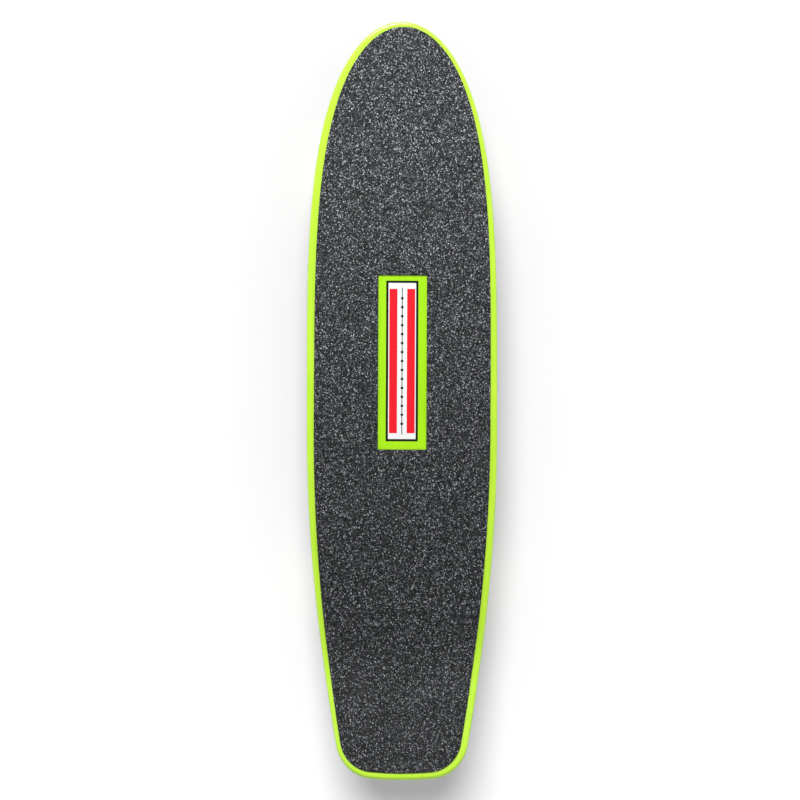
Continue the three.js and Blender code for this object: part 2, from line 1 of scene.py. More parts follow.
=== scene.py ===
"""Looks for the skateboard: a lime deck with a windowed grip sheet, two trucks and four wheels."""

import json
import math

import bmesh
import bpy
from mathutils import Matrix, Vector, noise


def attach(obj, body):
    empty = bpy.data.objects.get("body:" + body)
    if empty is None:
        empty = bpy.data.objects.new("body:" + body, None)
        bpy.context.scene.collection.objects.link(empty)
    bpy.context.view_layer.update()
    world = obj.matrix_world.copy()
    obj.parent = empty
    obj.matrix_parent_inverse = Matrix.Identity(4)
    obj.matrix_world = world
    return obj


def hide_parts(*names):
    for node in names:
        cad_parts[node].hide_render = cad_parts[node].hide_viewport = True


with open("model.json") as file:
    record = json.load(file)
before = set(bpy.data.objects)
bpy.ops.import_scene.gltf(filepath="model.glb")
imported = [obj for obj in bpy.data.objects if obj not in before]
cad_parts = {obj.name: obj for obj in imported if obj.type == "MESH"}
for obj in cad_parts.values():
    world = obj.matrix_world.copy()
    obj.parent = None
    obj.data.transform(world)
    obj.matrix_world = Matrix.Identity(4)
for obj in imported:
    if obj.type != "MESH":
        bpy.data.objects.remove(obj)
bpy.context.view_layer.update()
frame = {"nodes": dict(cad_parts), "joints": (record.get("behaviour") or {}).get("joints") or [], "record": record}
JOINTS = {joint["name"]: joint for joint in frame["joints"]}
MM = 0.001
CORNERS = ((-1, -1), (1, -1), (1, 1), (-1, 1))

# ---- Deck, in millimetres ----

DECK_LENGTH = 762
DECK_WIDTH = 192
WIDEST_X = -30  # the nose curve starts here
NOSE_POWER = 3.9
SIDE_RADIUS = 1700
TAIL_END_RADIUS = 360
TAIL_CORNER_RADIUS = 39

CAMBER_X = 20  # top of the camber
CAMBER_ANGLE = math.radians(3.5)
CAMBER_REACH = 168
CAMBER_RADIUS = CAMBER_REACH / math.sin(CAMBER_ANGLE)
KICK_START_X = -240
KICK_RADIUS = 130
KICK_ANGLE = math.radians(18)

LAMINATE = 1.0
CORE = 8.0
PLIES = 7
BAND_GAP = 0.05  # between a laminate and the core
TOP_FACE = CORE / 2 + LAMINATE + BAND_GAP
RAIL_RADIUS = 2.8

GRIP = 1.3
GRIP_INSET = {"waist": 7.2, "ends": 5.4}
GRIP_STEP = 1.25  # between the vertices that carry the grit
GRIP_SHIFT = -0.2  # the sheet was laid by hand: a little to the right, and turned
GRIP_TURN = -0.0045
GRIT_SIZE = 1.15
GRIT_HEIGHT = 0.3
GRIT_WAVE = 0.12  # slow swell under the grains
RAGGED_EDGE = 0.22  # how far the cut edge wanders
WINDOW = {"x": 35.8, "y": 0, "length": 175, "width": 48.8}
WINDOW_COLUMNS = 20

DECAL = {"x": 37.2, "y": 0.3, "length": 161.4, "width": 32.4}
DECAL_LINE = 2.3
DECAL_FILM = 0.04
BAND = {"length": 145, "width": 8}
CENTRE_LINE = 0.8
DOT_RADIUS = 1.4
DOT_SPACING = 9
DOT_COUNT = 15

# ---- Trucks, in millimetres from the base plate's upper face ----

FIT_GAP = 0.3
RISER = 6
PLATE = {"length": 82, "width": 56, "corner": 8, "thickness": 6}
BOLT_SPACING = (63.5, 41.3)
RING_CENTRE = Vector((-22, 0, -43))
PIVOT_ANGLE = math.radians(32)
PIVOT_LENGTH = 56
KINGPIN_LEAN = math.radians(22)
STEER_AXIS = Vector((math.cos(PIVOT_ANGLE), 0, math.sin(PIVOT_ANGLE)))
PIVOT_TIP = RING_CENTRE + PIVOT_LENGTH * STEER_AXIS
WHEEL_RADIUS = 31
WHEEL_HALF = 18
BEARING_SEAT = 5  # from the wheel's middle to each bearing
BEARING_WIDTH = 7
SPEED_RING = 1.0


# ---- Mesh tools ----

def finish_mesh(name, bm, materials, body, replaced=(), sharp=math.radians(32)):
    """A named piece from a bmesh in metres, smooth but for its sharp edges, riding on a body."""
    bmesh.ops.recalc_face_normals(bm, faces=bm.faces)
    for face in bm.faces:
        face.smooth = True
    for edge in bm.edges:
        edge.smooth = not (edge.is_manifold and edge.calc_face_angle(0) > sharp)
    mesh = bpy.data.meshes.new(name)
    bm.to_mesh(mesh)
    bm.free()
    for material in materials:
        mesh.materials.append(material)
    piece = bpy.data.objects.new(name, mesh)
    bpy.context.scene.collection.objects.link(piece)
    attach(piece, body)
    if replaced:
        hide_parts(*replaced)
    return piece


def join_rings(bm, ring, following, material=0):
    """Faces between two rings of vertices, either of which may be a single point."""
    count = max(len(ring), len(following))
    if count == 1:
        return
    for i in range(count):
        corners = [ring[i % len(ring)], ring[(i + 1) % len(ring)],
                   following[(i + 1) % len(following)], following[i % len(following)]]
        unique = list(dict.fromkeys(corners))
        bm.faces.new(unique).material_index = material


def skin(rings, bands=None):
    """A closed solid through rings of points, the last joined to the first.

    bands gives the material of the faces that follow each ring.
    """
    bm = bmesh.new()
    made = [[bm.verts.new(point) for point in ring] for ring in rings]
    for i, ring in enumerate(made):
        join_rings(bm, ring, made[(i + 1) % len(made)], bands[i] if bands else 0)
    return bm


def circle(radius, z, sides):
    if radius < 1e-6:
        return [(0, 0, z)]
    turns = [2 * math.pi * i / sides for i in range(sides)]
    return [(radius * math.cos(a), radius * math.sin(a), z) for a in turns]


def lathe(corners, sides=48, steps=4, bands=None):
    """A solid of revolution about Z. Each corner of its closed profile is (radius, z, rounding)."""
    return skin([circle(r, z, sides) for r, z in rounded(corners, steps)], bands)


def rounded(corners, steps=4):
    """A closed outline whose (x, y, rounding) corners are turned into arcs."""
    points = []
    for i, (x, y, radius) in enumerate(corners):
        here = Vector((x, y))
        if radius == 0:
            points.append((x, y))
            continue
        before = (Vector(corners[i - 1][:2]) - here).normalized()
        after = (Vector(corners[(i + 1) % len(corners)][:2]) - here).normalized()
        half = before.angle(after) / 2
        centre = here + (before + after).normalized() * radius / math.sin(half)
        start = here + before * radius / math.tan(half) - centre
        end = here + after * radius / math.tan(half) - centre
        turn = math.atan2(start.x * end.y - start.y * end.x, start.dot(end))
        for k in range(steps + 1):
            spoke = Matrix.Rotation(turn * k / steps, 2) @ start
            points.append(tuple(centre + spoke))
    return points


def thread(radius, start, end, pitch, depth, sides=24):
    """Rings of a threaded rod between two heights along Z, its groove fading out at both ends."""
    steps = round((end - start) / pitch * 6)
    rings = []
    for i in range(steps + 1):
        z = start + (end - start) * i / steps
        fade = min(1, (z - start) / pitch, (end - z) / pitch)
        ring = []
        for k in range(sides):
            turn = k / sides
            groove = 0.5 - 0.5 * math.cos(2 * math.pi * (z / pitch - turn))
            r = radius - depth * fade * groove
            ring.append((r * math.cos(2 * math.pi * turn), r * math.sin(2 * math.pi * turn), z))
        rings.append(ring)
    return rings


def lock_nut(across, bore, height):
    """A hexagonal nut about Z with chamfered corners, and a round collar that holds a nylon ring."""
    sides = 60
    hexagon = height * 0.68
    chamfer = [0, 0.15, 0.35, 0.65, 1.0]
    flat = across / 2
    rings = [circle(bore, 0, sides)]
    for rise in chamfer + [hexagon - c for c in reversed(chamfer)]:
        crown = 0.96 * flat + min(rise, hexagon - rise) * math.sqrt(3)
        ring = []
        for k in range(sides):
            turn = 2 * math.pi * k / sides
            off = (turn + math.pi / 6) % (math.pi / 3) - math.pi / 6
            r = min(flat / math.cos(off), crown)
            ring.append((r * math.cos(turn), r * math.sin(turn), rise))
        rings.append(ring)
    collar = 0.86 * flat
    for r, z in [(collar, hexagon), (collar, height - 0.6), (collar - 0.2, height - 0.15),
                 (collar - 0.7, height)]:
        rings.append(circle(r, z, sides))
    nylon = len(rings)
    for r, z in [(collar - 1.0, height - 0.25), (bore, height - 0.4)]:
        rings.append(circle(r, z, sides))
    bands = [1 if i >= nylon - 1 else 0 for i in range(len(rings))]
    bands[-1] = 0
    return skin(rings, bands)


# ---- Material tools ----

def add_node(tree, kind, inputs=None, **settings):
    """A node with its settings, and each input either linked or set to a value."""
    made = tree.nodes.new(kind)
    for key, value in settings.items():
        setattr(made, key, value)
    for key, value in (inputs or {}).items():
        if isinstance(value, bpy.types.NodeSocket):
            tree.links.new(value, made.inputs[key])
        else:
            made.inputs[key].default_value = value
    return made


def new_material(name, **values):
    """A material, its node tree and its shader, with the shader's own values set."""
    material = bpy.data.materials.new(name)
    material.use_nodes = True
    tree = material.node_tree
    shader = tree.nodes["Principled BSDF"]
    for key, value in values.items():
        shader.inputs[key.replace("_", " ")].default_value = value
    return material, tree, shader


def stretched(tree, scale):
    """Object coordinates, scaled along each axis."""
    coords = add_node(tree, "ShaderNodeTexCoord").outputs["Object"]
    return add_node(tree, "ShaderNodeMapping", {"Vector": coords, "Scale": scale}).outputs["Vector"]


def noise_at(tree, scale, detail=2.0, roughness=0.5, stretch=(1, 1, 1)):
    inputs = {
        "Vector": stretched(tree, stretch), "Scale": scale, "Detail": detail, "Roughness": roughness}
    return add_node(tree, "ShaderNodeTexNoise", inputs).outputs["Fac"]


def ramp(tree, factor, stops):
    """A colour ramp through (position, grey or RGB) stops."""
    made = add_node(tree, "ShaderNodeValToRGB", {"Fac": factor})
    elements = made.color_ramp.elements
    while len(elements) < len(stops):
        elements.new(0.5)
    for element, (position, colour) in zip(elements, stops):
        element.position = position
        element.color = (*colour, 1) if isinstance(colour, tuple) else (colour, colour, colour, 1)
    return made.outputs["Color"]


def mix(tree, factor, a, b, blend="MIX"):
    made = add_node(tree, "ShaderNodeMix", data_type="RGBA", blend_type=blend)
    for index, value in ((0, factor), (6, a), (7, b)):
        if isinstance(value, bpy.types.NodeSocket):
            tree.links.new(value, made.inputs[index])
        else:
            made.inputs[index].default_value = value
    return made.outputs[2]


def bump(tree, shader, height, distance, strength=1.0, normal="Normal"):
    inputs = {"Height": height, "Distance": distance, "Strength": strength}
    tree.links.new(add_node(tree, "ShaderNodeBump", inputs).outputs["Normal"], shader.inputs[normal])


def rgba(r, g, b):
    return (r, g, b, 1)


# ---- Materials ----

def lime_laminate(name, dark, middle, light):
    """Lime fibreglass: fine fibres along the board under a clear gloss coat."""
    material, tree, shader = new_material(
        name, Roughness=0.4, Specular_IOR_Level=0.2, Coat_Weight=1.0, Coat_Roughness=0.17)
    fibres = noise_at(tree, 60, detail=4, stretch=(0.35, 22, 4))
    clouds = noise_at(tree, 14, detail=2)
    fibre_colour = ramp(tree, fibres, [(0.25, dark), (0.5, middle), (0.78, light)])
    cloud_colour = ramp(tree, clouds, [(0.3, (0.90, 0.94, 0.85)), (0.7, (1, 1, 1))])
    colour = mix(tree, 1.0, fibre_colour, cloud_colour, "MULTIPLY")
    tree.links.new(colour, shader.inputs["Base Color"])
    bump(tree, shader, fibres, 0.00004, 0.5)
    return material


def smoked_laminate():
    """Clear fibreglass over a black-stained veneer, whose grain runs along the board."""
    material, tree, shader = new_material(
        "smoked_fibreglass", Roughness=0.35, Specular_IOR_Level=0.3, Coat_Weight=0.5,
        Coat_Roughness=0.12)
    grain = noise_at(tree, 90, detail=6, roughness=0.65, stretch=(0.2, 7, 4))
    clouds = noise_at(tree, 10, detail=2)
    grain_colour = ramp(tree, grain, [
        (0.3, (0.010, 0.0105, 0.011)), (0.55, (0.020, 0.021, 0.022)), (0.75, (0.038, 0.039, 0.040))])
    cloud_colour = ramp(tree, clouds, [(0.3, 0.75), (0.7, 1.0)])
    tree.links.new(mix(tree, 1.0, grain_colour, cloud_colour, "MULTIPLY"), shader.inputs["Base Color"])
    bump(tree, shader, grain, 0.00003, 0.4)
    return material


def stained_ply(name, dark, light):
    """The sealed edge of a lime-stained veneer, with its grain along the board."""
    material, tree, shader = new_material(
        name, Roughness=0.5, Specular_IOR_Level=0.3, Coat_Weight=0.15, Coat_Roughness=0.15)
    grain = noise_at(tree, 120, detail=5, roughness=0.6, stretch=(0.25, 1, 6))
    tree.links.new(ramp(tree, grain, [(0.3, dark), (0.7, light)]), shader.inputs["Base Color"])
    bump(tree, shader, grain, 0.00006, 0.5)
    return material


def grit():
    """Black grip: blue-grey grains of many shades, a few of them bright, painted lighter towards the nose and
    darker towards the tail as painted light.
    """
    material, tree, shader = new_material("black_grip", Roughness=0.65, Specular_IOR_Level=0.2)
    coords = stretched(tree, (1, 1, 1))
    warp = add_node(tree, "ShaderNodeTexNoise", {"Vector": coords, "Scale": 700.0, "Detail": 1.0})
    bent = mix(tree, 0.0006, coords, warp.outputs["Color"], "LINEAR_LIGHT")
    grains = add_node(tree, "ShaderNodeTexVoronoi", {"Vector": bent, "Scale": 1080.0})
    shade = add_node(tree, "ShaderNodeSeparateColor", {"Color": grains.outputs["Color"]}).outputs["Red"]
    grey = ramp(tree, shade, [
        (0.0, 0.010), (0.35, 0.026), (0.62, 0.065), (0.82, 0.17), (0.92, 0.42), (1.0, 1.0)])
    tint = mix(tree, 0.12, rgba(0.90, 1.0, 1.06), grains.outputs["Color"])
    gaps = ramp(tree, grains.outputs["Distance"], [(0.3, 1.0), (0.75, 0.3)])
    # Painted light: the grit is painted darker towards the tail and lighter towards the nose, standing in for
    # light that falls off away from a lamp past the nose.
    along = add_node(tree, "ShaderNodeSeparateXYZ", {"Vector": coords}).outputs["X"]
    half = DECK_LENGTH / 2 * MM
    share = add_node(tree, "ShaderNodeMapRange", {"Value": along, "From Min": -half, "From Max": half})
    painted_falloff = ramp(tree, share.outputs["Result"], [(0.1, 0.59), (0.4, 0.70), (0.8, 0.92), (1.0, 1.0)])
    grain_colour = mix(tree, 1.0, mix(tree, 1.0, grey, tint, "MULTIPLY"), gaps, "MULTIPLY")
    tree.links.new(mix(tree, 1.0, grain_colour, painted_falloff, "MULTIPLY"), shader.inputs["Base Color"])
    bump(tree, shader, grains.outputs["Distance"], 0.0005, 0.6)
    return material


def printed(name, colour):
    """Ink under the laminate's clear coat, with the faint weave of the print."""
    material, tree, shader = new_material(
        name, Roughness=0.45, Specular_IOR_Level=0.15, Coat_Weight=0.2, Coat_Roughness=0.12)
    weave = noise_at(tree, 1500, detail=2)
    fade = tuple(0.86 * c for c in colour)
    tree.links.new(ramp(tree, weave, [(0.35, fade), (0.6, colour)]), shader.inputs["Base Color"])
    return material


def metal(name, colour, roughness, grain, depth, worn=0.75):
    """A metal with a fine surface grain and slow patches of a duller tone."""
    material, tree, shader = new_material(name, Metallic=1.0)
    patches = noise_at(tree, 90, detail=4, roughness=0.6)
    dull = tuple(worn * c for c in colour)
    tree.links.new(ramp(tree, patches, [(0.35, dull), (0.65, colour)]), shader.inputs["Base Color"])
    gloss = ramp(tree, patches, [(0.3, 1.5 * roughness), (0.7, roughness)])
    tree.links.new(gloss, shader.inputs["Roughness"])
    bump(tree, shader, noise_at(tree, grain, detail=3), depth, 0.6)
    return material


def urethane(name, deep, light, dirt):
    """Cast urethane that lets some light in, scuffed and dusty where it runs on the ground."""
    material, tree, shader = new_material(
        name, Subsurface_Weight=0.25, Subsurface_Radius=(0.006, 0.0015, 0.001), Subsurface_Scale=1.0)
    clouds = noise_at(tree, 45, detail=2)
    body = ramp(tree, clouds, [(0.3, deep), (0.7, light)])
    facing = add_node(tree, "ShaderNodeTexCoord").outputs["Normal"]
    across = add_node(tree, "ShaderNodeSeparateXYZ", {"Vector": facing}).outputs["Y"]
    flank = add_node(tree, "ShaderNodeMath", {0: across}, operation="ABSOLUTE").outputs[0]
    tread = ramp(tree, flank, [(0.05, 1.0), (0.35, 0.0)])
    scuffs = ramp(tree, noise_at(tree, 500, detail=6, roughness=0.7), [(0.5, 0.0), (0.85, 0.35)])
    worn = mix(tree, 1.0, tread, scuffs, "MULTIPLY")
    tree.links.new(mix(tree, worn, body, rgba(*dirt)), shader.inputs["Base Color"])
    tree.links.new(ramp(tree, worn, [(0.0, 0.28), (0.6, 0.65)]), shader.inputs["Roughness"])
    bump(tree, shader, scuffs, 0.00008, 0.5)
    return material


def moulded(name, dark, light, roughness, grain=1400, depth=0.00008):
    """A moulded rubber or plastic with a fine texture and a slightly uneven tone."""
    material, tree, shader = new_material(name, Roughness=roughness)
    tone = noise_at(tree, 70, detail=3)
    tree.links.new(ramp(tree, tone, [(0.3, dark), (0.7, light)]), shader.inputs["Base Color"])
    bump(tree, shader, noise_at(tree, grain, detail=2), depth, 0.6)
    return material


LIME = lime_laminate("lime_fibreglass", (0.35, 0.78, 0.0), (0.43, 0.875, 0.0), (0.52, 0.94, 0.003))
# A paler copy of the lime laminate for the rail and the band along the edge: a painted highlight.
LIME_RIM_PAINTED_HIGHLIGHT = lime_laminate("lime_rim_painted_highlight", (0.48, 0.83, 0.03), (0.57, 0.92, 0.04), (0.65, 0.96, 0.055))
SMOKED = smoked_laminate()
PLY_A = stained_ply("stained_ply_long", (0.34, 0.62, 0.03), (0.46, 0.80, 0.06))
PLY_B = stained_ply("stained_ply_cross", (0.24, 0.47, 0.02), (0.36, 0.64, 0.04))
GRIT = grit()
INK_BLACK = printed("ink_black", (0.008, 0.010, 0.006))
INK_WHITE = printed("ink_white", (0.93, 0.94, 0.93))
INK_RED = printed("ink_red", (0.90, 0.012, 0.026))
CAST = metal("cast_aluminium", (0.60, 0.61, 0.62), 0.36, 1300, 0.00012)
ZINC = metal("zinc_plate", (0.66, 0.67, 0.69), 0.24, 2200, 0.00003)
BLACK_STEEL = metal("black_oxide", (0.045, 0.045, 0.05), 0.35, 2200, 0.00003)
BEARING_STEEL = metal("ground_steel", (0.74, 0.75, 0.77), 0.14, 3000, 0.00001, worn=0.9)
SHIELD = metal("bearing_shield", (0.42, 0.43, 0.45), 0.3, 2400, 0.00002)
RING_STEEL = metal("speed_ring_steel", (0.70, 0.66, 0.55), 0.25, 2400, 0.00002)
WHEEL_CREAM = urethane("cream_urethane", (0.70, 0.66, 0.57), (0.80, 0.76, 0.67), (0.42, 0.38, 0.32))
BUSHING_AMBER = urethane("amber_urethane", (0.72, 0.27, 0.020), (0.86, 0.40, 0.045), (0.80, 0.34, 0.03))
NYLON = moulded("nylon", (0.72, 0.74, 0.78), (0.86, 0.87, 0.9), 0.4)
RISER_RUBBER = moulded("riser_rubber", (0.010, 0.010, 0.011), (0.022, 0.022, 0.023), 0.55)
CUP_PLASTIC = moulded("cup_plastic", (0.66, 0.64, 0.58), (0.80, 0.79, 0.74), 0.4)


# ---- Deck ----

def deck_line(x):
    """Height of the deck's middle plane under the camber's top, and its slope towards the nose."""
    away = abs(x - CAMBER_X)
    side = 1 if x < CAMBER_X else -1
    if away <= CAMBER_REACH:
        drop = CAMBER_RADIUS - math.sqrt(CAMBER_RADIUS ** 2 - away ** 2)
        return -drop, side * math.asin(away / CAMBER_RADIUS)

    def straight(reach):
        arc_drop = CAMBER_RADIUS * (math.cos(CAMBER_ANGLE) - 1)
        return arc_drop - (reach - CAMBER_REACH) * math.tan(CAMBER_ANGLE)

    if x >= KICK_START_X:
        return straight(away), side * CAMBER_ANGLE
    past = KICK_START_X - x
    bend = min(past, KICK_RADIUS * (math.sin(CAMBER_ANGLE) + math.sin(KICK_ANGLE)))
    turn = math.asin(bend / KICK_RADIUS - math.sin(CAMBER_ANGLE))
    bent = straight(CAMBER_X - KICK_START_X) + KICK_RADIUS * (math.cos(CAMBER_ANGLE) - math.cos(turn))
    return bent + (past - bend) * math.tan(KICK_ANGLE), -turn


def camber_top():
    """Height of the camber's top, from a mount on the grip over the front truck."""
    mount = next(m for m in frame["record"]["mounts"] if m["name"] == "front_foot")
    x = mount["pos_m"][0] / MM
    z, slope = deck_line(x)
    return mount["pos_m"][2] / MM - z - (TOP_FACE + GRIP) * math.cos(slope)


CAMBER_TOP_Z = camber_top()


def deck_point(x, y, level):
    """A point at a level above the deck's middle plane, square to it, in metres."""
    z, slope = deck_line(x)
    return Vector((x - level * math.sin(slope), y, CAMBER_TOP_Z + z + level * math.cos(slope))) * MM


def corner_circle():
    """Centre of the tail's left corner, which touches the tail end and the long side from inside."""
    end = Vector((TAIL_END_RADIUS - DECK_LENGTH / 2, 0))
    side = Vector((WIDEST_X, DECK_WIDTH / 2 - SIDE_RADIUS))
    reach_end = TAIL_END_RADIUS - TAIL_CORNER_RADIUS
    reach_side = SIDE_RADIUS - TAIL_CORNER_RADIUS
    gap = side - end
    along = (reach_end ** 2 - reach_side ** 2 + gap.length_squared) / (2 * gap.length)
    across = math.sqrt(reach_end ** 2 - along ** 2)
    return end + (along * gap + across * Vector((gap.y, -gap.x))) / gap.length


def half_outline():
    """The left half of the outline from tail to nose, as (point, outward normal) pairs."""
    end = Vector((TAIL_END_RADIUS - DECK_LENGTH / 2, 0))
    side = Vector((WIDEST_X, DECK_WIDTH / 2 - SIDE_RADIUS))
    corner = corner_circle()
    end_turn = math.atan2(*reversed(corner - end))
    side_turn = math.atan2(*reversed(corner - side))
    pairs = []
    sweeps = [
        (end, TAIL_END_RADIUS, math.pi, end_turn, 16),
        (corner, TAIL_CORNER_RADIUS, end_turn, side_turn, 24),
        (side, SIDE_RADIUS, side_turn, math.pi / 2, 90),
    ]
    for centre, radius, start, stop, steps in sweeps:
        for i in range(steps):
            turn = start + (stop - start) * i / steps
            normal = Vector((math.cos(turn), math.sin(turn)))
            pairs.append((centre + radius * normal, normal))
    nose = DECK_LENGTH / 2 - WIDEST_X
    half = DECK_WIDTH / 2
    steps = 110
    for i in range(steps + 1):
        share = math.sin(math.pi / 2 * i / steps) ** (2 / NOSE_POWER)
        y = half * math.sqrt(max(0, 1 - share ** NOSE_POWER))
        normal = Vector((NOSE_POWER * share ** (NOSE_POWER - 1) / nose, 2 * y / half ** 2)).normalized()
        pairs.append((Vector((WIDEST_X + share * nose, y)), normal))
    return pairs


HALF_OUTLINE = half_outline()


def deck_shell(rings, bands=None):
    """A closed sheet that follows the deck, through (inset, level) rings from the lowest up."""
    bm = bmesh.new()
    last = len(HALF_OUTLINE) - 1
    mirror = [last - abs(last - i) for i in range(2 * last)]
    made = []
    for inset, level in rings:
        ring = []
        for i, j in enumerate(mirror):
            point, normal = HALF_OUTLINE[j]
            inner = point - inset * normal
            y = 0 if j in (0, last) else inner.y
            ring.append(bm.verts.new(deck_point(inner.x, y if i <= last else -y, level)))
        made.append(ring)
    for i, (ring, following) in enumerate(zip(made, made[1:])):
        join_rings(bm, ring, following, bands[i] if bands else 0)
    for ring in (made[0], made[-1]):
        for i in range(last):
            corners = [ring[i], ring[i + 1], ring[-i - 1], ring[-i]]
            bm.faces.new(list(dict.fromkeys(corners)))
    return bm


def rail_inset(level):
    """How far the rounded rail has drawn in at a level above or under the middle plane."""
    over = abs(level) - (TOP_FACE - RAIL_RADIUS)
    if over <= 0:
        return 0
    return RAIL_RADIUS - math.sqrt(max(0, RAIL_RADIUS ** 2 - over ** 2))


def rail(start, stop, steps):
    levels = [start + (stop - start) * i / steps for i in range(steps + 1)]
    return [(rail_inset(level), level) for level in levels]


def make_deck():
    """The two laminates and, between them, the core with its plies."""
    edge = CORE / 2
    inner = [(RAIL_RADIUS + 1.0, TOP_FACE), (RAIL_RADIUS + 14, TOP_FACE)]
    upper = [(rail_inset(edge) + 2, edge + BAND_GAP)] + rail(edge + BAND_GAP, TOP_FACE, 6) + inner
    lower = [(inset, -level) for inset, level in reversed(upper)]
    # The rail and the band along the edge take the paler lime with its painted highlight; the top face inside that
    # band takes the plain lime.
    top = deck_shell(upper, [1] * len(upper))
    finish_mesh("deck_top_fibreglass", top, [LIME, LIME_RIM_PAINTED_HIGHLIGHT], "board",
                ["deck_top_laminate"])
    finish_mesh("deck_bottom_fibreglass", deck_shell(lower), [SMOKED], "board",
                ["deck_bottom_laminate"])
    rings = [(rail_inset(edge) + 2, -edge)]
    bands = [0]
    for ply in range(PLIES):
        bottom = -edge + CORE * ply / PLIES
        steps = rail(bottom, bottom + CORE / PLIES, 3)
        rings += steps if ply == 0 else steps[1:]
        bands += [ply % 2] * 3
    rings.append((rail_inset(edge) + 2, edge))
    bands.append(0)
    finish_mesh("deck_ply_core", deck_shell(rings, bands), [PLY_A, PLY_B], "board",
                ["deck_core"])


# ---- Grip ----

def laid(x, y):
    """A point of the grip sheet, turned and shifted as it was laid."""
    return x - GRIP_TURN * y, y + GRIP_SHIFT + GRIP_TURN * x


def grip_inset(x):
    """How far inside the deck's edge the sheet was cut."""
    return GRIP_INSET["waist"] + (GRIP_INSET["ends"] - GRIP_INSET["waist"]) * (2 * x / DECK_LENGTH) ** 2


def grip_stations():
    """Half-widths of the sheet from tail to nose, close enough to carry the grit."""
    stations = []
    fine = 8
    for (point, normal), (ahead, ahead_normal) in zip(HALF_OUTLINE, HALF_OUTLINE[1:]):
        for k in range(fine):
            share = k / fine
            rim = point.lerp(ahead, share)
            edge = rim - grip_inset(rim.x) * normal.lerp(ahead_normal, share).normalized()
            if edge.y < 2:
                continue
            last = stations[-1] if stations else None
            if last is None or edge.x - last[0] >= GRIP_STEP or abs(edge.y - last[1]) >= 4:
                stations.append((edge.x, edge.y))
    low = WINDOW["x"] - WINDOW["length"] / 2
    high = low + WINDOW["length"]
    for limit in (low, high):
        i = min(range(len(stations)), key=lambda k: abs(stations[k][0] - limit))
        stations[i] = (limit, stations[i][1])
    return stations, low, high


def columns(half):
    """Places across the sheet, with some that follow the window's edges."""
    inner = min(WINDOW["width"] / 2, half / 2)
    middle = WINDOW["y"] * inner / (WINDOW["width"] / 2)
    outer = round((DECK_WIDTH - WINDOW["width"]) / 2 / GRIP_STEP)
    places = [-half + (middle - inner + half) * i / outer for i in range(outer)]
    places += [middle + inner * i / WINDOW_COLUMNS for i in range(-WINDOW_COLUMNS, WINDOW_COLUMNS)]
    places += [middle + inner + (half - middle - inner) * i / outer for i in range(outer + 1)]
    return places, outer


def grain_height(x, y):
    """Height of the grit at a point: grains of many sizes, set close together."""
    at = Vector((x, y, 0)) / GRIT_SIZE
    grain = noise.cell(at)
    return GRIT_HEIGHT * (grain ** 2 - 0.5) + GRIT_WAVE * noise.noise(at * 0.6)


def make_grip():
    """The grip sheet: grit on its face, a rough cut edge and a window."""
    stations, low, high = grip_stations()
    bm = bmesh.new()
    rows = []
    for x, half in stations:
        places, outer = columns(half)
        row = []
        for i, y in enumerate(places):
            on_edge = i in (0, len(places) - 1)
            ragged = RAGGED_EDGE * noise.noise(Vector((x, y, 5))) if on_edge else 0
            at_x, at_y = laid(x, y + ragged)
            level = TOP_FACE + GRIP - GRIT_HEIGHT / 2 + grain_height(at_x, at_y)
            row.append(bm.verts.new(deck_point(at_x, at_y, level)))
        rows.append(row)
    window = range(outer, outer + 2 * WINDOW_COLUMNS)
    for i, (row, following) in enumerate(zip(rows, rows[1:])):
        in_window = low <= (stations[i][0] + stations[i + 1][0]) / 2 <= high
        for k in range(len(row) - 1):
            if not (in_window and k in window):
                bm.faces.new((row[k], row[k + 1], following[k + 1], following[k]))
    border = [edge for edge in bm.edges if edge.is_boundary]
    skirt = bmesh.ops.extrude_edge_only(bm, edges=border)["geom"]
    for vertex in skirt:
        if isinstance(vertex, bmesh.types.BMVert):
            _, slope = deck_line(vertex.co.x / MM)
            vertex.co -= Vector((-math.sin(slope), 0, math.cos(slope))) * GRIP * MM
    bmesh.ops.delete(bm, geom=[v for v in bm.verts if not v.link_faces], context="VERTS")
    finish_mesh("grip_grit", bm, [GRIT], "board", ["grip_sheet"], sharp=math.pi)


# ---- Decal ----

def film(name, patches, layer, ink):
    """A thin printed film on the laminate, made of (x, y, length, width) patches."""
    bm = bmesh.new()
    base = TOP_FACE + DECAL_FILM * layer
    for x, y, length, width in patches:
        steps = max(1, round(length / 5))
        rings = []
        for i in range(steps + 1):
            at_x = x - length / 2 + length * i / steps
            rim = [(-1, 0), (1, 0), (1, 1), (-1, 1)]
            rings.append([
                bm.verts.new(deck_point(*laid(at_x, y + side * width / 2), base + DECAL_FILM * up))
                for side, up in rim])
        for ring, following in zip(rings, rings[1:]):
            join_rings(bm, ring, following)
        bm.faces.new(rings[0])
        bm.faces.new(rings[-1])
    finish_mesh(name, bm, [ink], "board", sharp=math.radians(20))


def dot_film(name, layer, ink):
    """Evenly spaced dots along the middle of the decal."""
    bm = bmesh.new()
    base = TOP_FACE + DECAL_FILM * layer
    sides = 20
    for k in range(DOT_COUNT):
        x = DECAL["x"] + (k - (DOT_COUNT - 1) / 2) * DOT_SPACING
        rings = []
        for up in (0, 1):
            rings.append([
                bm.verts.new(deck_point(*laid(x + px, DECAL["y"] + py), base + DECAL_FILM * up))
                for px, py, _ in circle(DOT_RADIUS, 0, sides)])
        join_rings(bm, *rings)
        for ring in rings:
            bm.faces.new(ring)
    finish_mesh(name, bm, [ink], "board", sharp=math.radians(20))


